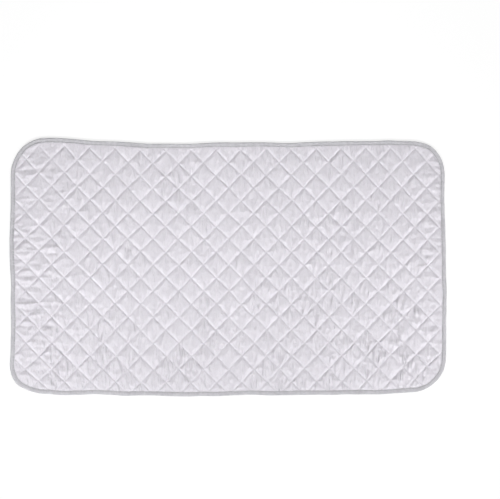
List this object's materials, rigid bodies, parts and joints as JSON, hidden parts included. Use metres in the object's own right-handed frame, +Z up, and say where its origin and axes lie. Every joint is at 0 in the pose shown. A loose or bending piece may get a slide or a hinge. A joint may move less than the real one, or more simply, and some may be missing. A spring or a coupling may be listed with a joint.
{
  "type": "ironing pad",
  "caption": "Flat rounded-rectangle ironing pad: silver-white coated cloth quilted in diamonds over wadding and a backing cloth, bound round the edge with folded grey tape.",
  "frame": {"origin": "middle of the face that the pad lies on", "axes": "+X along the length, +Y along the width, +Z up out of the quilted ironing face"},
  "size_m": [0.85, 0.48, 0.0049],
  "materials": {
    "coated_cloth": "silver-white heat-resistant coating on woven cotton, soft satin sheen",
    "wadding": "matt needled fibre wadding",
    "backing_cloth": "matt plain-woven cloth",
    "binding_tape": "ribbed woven tape",
    "sewing_thread": "spun sewing thread"
  },
  "bodies": {
    "root": {"backing": "backing_cloth", "batting": "wadding", "binding_bobbin_thread": "sewing_thread", "binding_needle_thread": "sewing_thread", "edge_binding": "binding_tape", "quilt_thread_01": "sewing_thread", "quilt_thread_02": "sewing_thread", "quilt_thread_03": "sewing_thread", "quilt_thread_04": "sewing_thread", "quilt_thread_05": "sewing_thread", "quilt_thread_06": "sewing_thread", "quilt_thread_07": "sewing_thread", "quilt_thread_08": "sewing_thread", "quilt_thread_09": "sewing_thread", "quilt_thread_10": "sewing_thread", "quilt_thread_11": "sewing_thread", "quilt_thread_12": "sewing_thread", "quilt_thread_13": "sewing_thread", "quilt_thread_14": "sewing_thread", "quilt_thread_15": "sewing_thread", "quilt_thread_16": "sewing_thread", "quilt_thread_17": "sewing_thread", "quilt_thread_18": "sewing_thread", "top_cover": "coated_cloth"}
  },
  "joints": []
}
